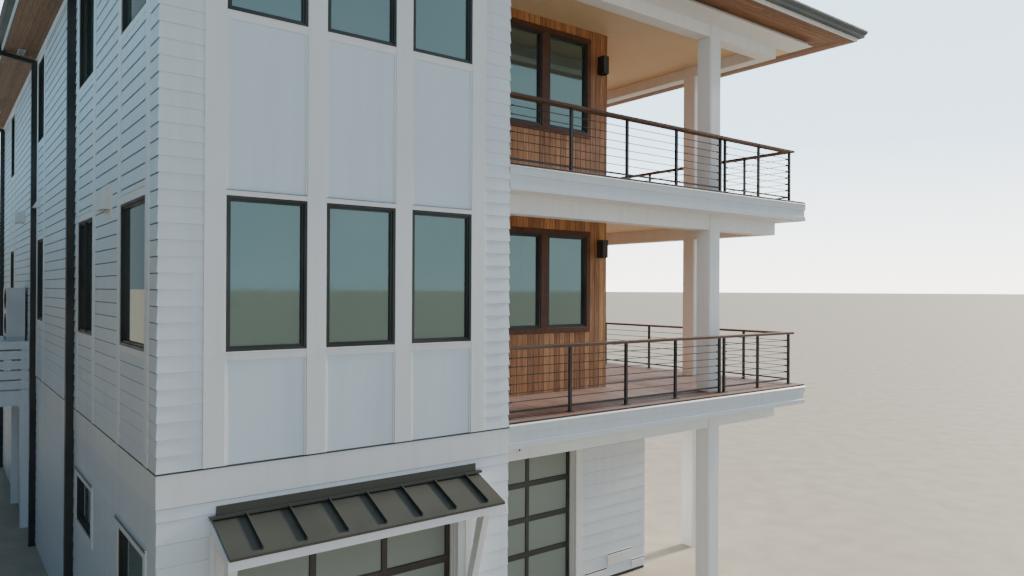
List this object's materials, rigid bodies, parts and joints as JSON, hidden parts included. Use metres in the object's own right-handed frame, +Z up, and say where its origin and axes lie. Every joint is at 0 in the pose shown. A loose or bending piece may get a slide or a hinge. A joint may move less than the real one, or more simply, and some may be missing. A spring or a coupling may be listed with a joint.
{
  "type": "beach house",
  "caption": "Tall white beach house with lap siding, wood clad recess, covered decks with cable railings, glazed garage doors and a low hip roof.",
  "frame": {"origin": "middle of the house's outline, at the level of the ground", "axes": "+X runs right along the front, +Y runs from front to back, +Z up"},
  "size_m": [12.82, 19.56, 11.658],
  "materials": {
    "concrete": "troweled matt",
    "white_siding": "satin white paint on lap boards and panels",
    "white_trim": "satin white paint on smooth boards",
    "bronze_metal": "satin dark bronze coating",
    "frosted_glass": "frosted",
    "floor_structure": "bare boards",
    "ceiling_paint": "satin cream paint",
    "cedar_boards": "oiled vertical boards",
    "clear_glass": "polished",
    "deck_wood": "weathered oil",
    "rail_metal": "satin black coating",
    "cable_metal": "dark brushed",
    "rail_wood": "weathered oil",
    "awning_metal": "satin black coating",
    "roof_metal": "satin charcoal coating",
    "soffit_wood": "oiled tongue and groove boards",
    "light_metal": "satin black coating",
    "hood_plastic": "matt",
    "condenser_metal": "satin grey coating"
  },
  "bodies": {
    "root": {"ground_floor_slab": "concrete", "ground_front_wall": "white_siding", "ground_left_wall": "white_siding", "ground_recess_wall": "white_siding", "ground_right_wall": "white_siding", "ground_back_wall": "white_siding", "return_wall": "white_siding", "front_garage_door": "bronze_metal", "recess_garage_door": "bronze_metal", "garage_door_glass": "frosted_glass", "first_floor": "white_trim", "second_floor": "floor_structure", "upper_ceiling": "ceiling_paint", "upper_front_wall": "white_siding", "upper_left_wall": "white_siding", "wood_clad_wall": "cedar_boards", "upper_right_wall": "cedar_boards", "upper_back_wall": "white_siding", "ground_window_frames": "bronze_metal", "first_window_frames": "bronze_metal", "second_window_frames": "bronze_metal", "deck_doors": "bronze_metal", "window_glass": "clear_glass", "deck_frames": "ceiling_paint", "deck_boards": "deck_wood", "deck_fascia": "white_trim", "deck_beams": "white_trim", "columns": "white_trim", "front_rail_posts": "rail_metal", "side_rail_posts": "rail_metal", "back_rail_posts": "rail_metal", "front_rail_cables": "cable_metal", "side_rail_cables": "cable_metal", "back_rail_cables": "cable_metal", "top_rails": "rail_wood", "awning_roof": "awning_metal", "awning_frame": "white_trim", "roof": "roof_metal", "fascia_boards": "white_trim", "eave_soffit": "soffit_wood", "gutters": "bronze_metal", "downspouts": "bronze_metal", "wall_lights": "light_metal", "vent_hoods": "hood_plastic", "equipment_platform": "white_trim", "condenser": "condenser_metal"}
  },
  "joints": []
}
